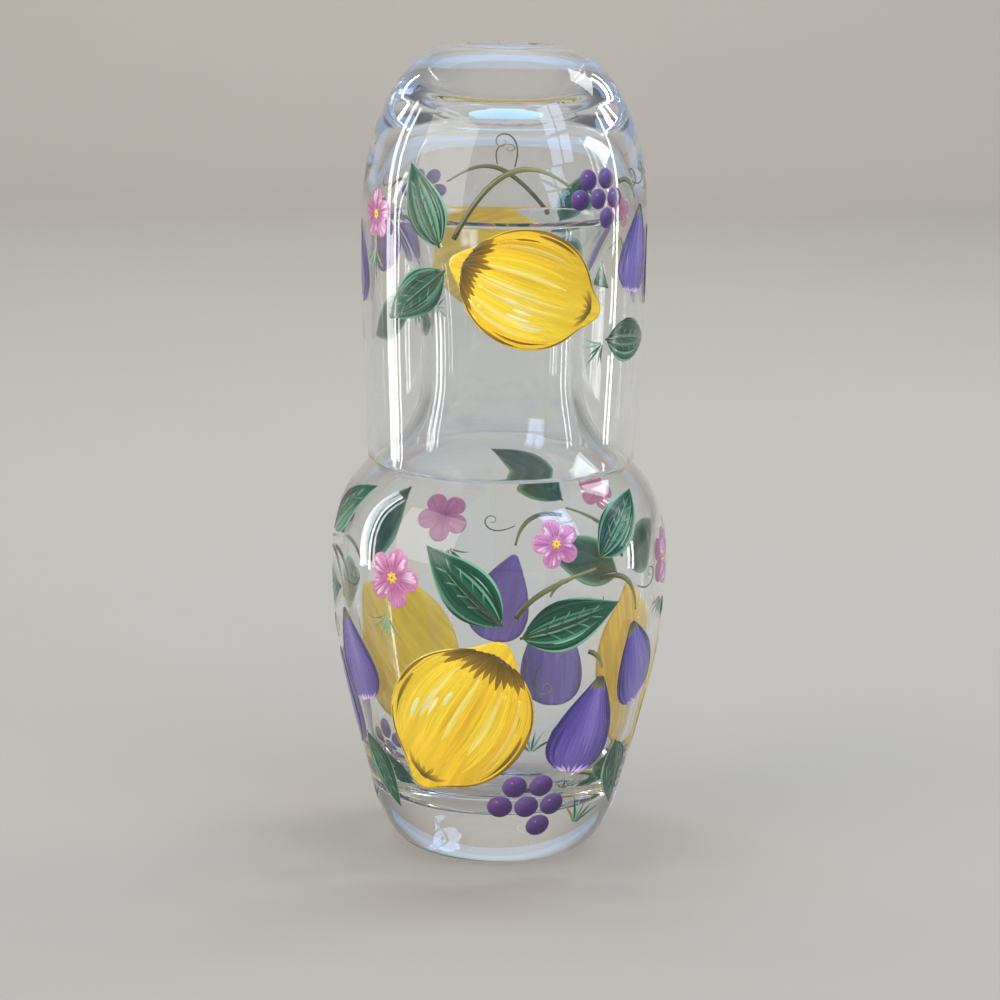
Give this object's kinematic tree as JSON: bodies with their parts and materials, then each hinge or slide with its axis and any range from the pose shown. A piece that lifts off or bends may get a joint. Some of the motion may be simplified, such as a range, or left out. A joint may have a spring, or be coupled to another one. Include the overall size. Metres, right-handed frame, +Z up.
{
  "type": "bedside carafe with tumbler",
  "caption": "Clear glass bedside carafe with a pinched neck and flared lip, and a tumbler that sits upside down over the neck as its cover, both with a raised enamel fruit garland.",
  "frame": {"origin": "middle of the carafe's foot, on the surface that it stands on", "axes": "+Z up along the axis of both glasses, -Y towards the front of the garland"},
  "size_m": [0.0885, 0.0883, 0.2125],
  "materials": {
    "clear_glass": "clear colourless soda-lime glass, fire-polished",
    "yellow_enamel": "glossy brushed enamel with ochre streaks",
    "violet_enamel": "glossy brushed enamel with dark and pale streaks",
    "green_enamel": "glossy brushed enamel with pale edges and dark veins",
    "olive_enamel": "glossy enamel line",
    "pink_enamel": "glossy brushed enamel",
    "berry_enamel": "glossy dotted enamel"
  },
  "bodies": {
    "carafe": {"carafe": "clear_glass", "carafe_lemons": "yellow_enamel", "carafe_figs": "violet_enamel", "carafe_leaves": "green_enamel", "carafe_stems": "olive_enamel", "carafe_blossoms": "pink_enamel", "carafe_berries": "berry_enamel"},
    "tumbler": {"tumbler": "clear_glass", "tumbler_lemons": "yellow_enamel", "tumbler_figs": "violet_enamel", "tumbler_leaves": "green_enamel", "tumbler_stems": "olive_enamel", "tumbler_blossoms": "pink_enamel", "tumbler_berries": "berry_enamel"}
  },
  "joints": [
    {"name": "tumbler_lift", "type": "slide", "parent": "carafe", "child": "tumbler", "axis": [0, 0, 1], "range_m": [0, 0.085]}
  ]
}
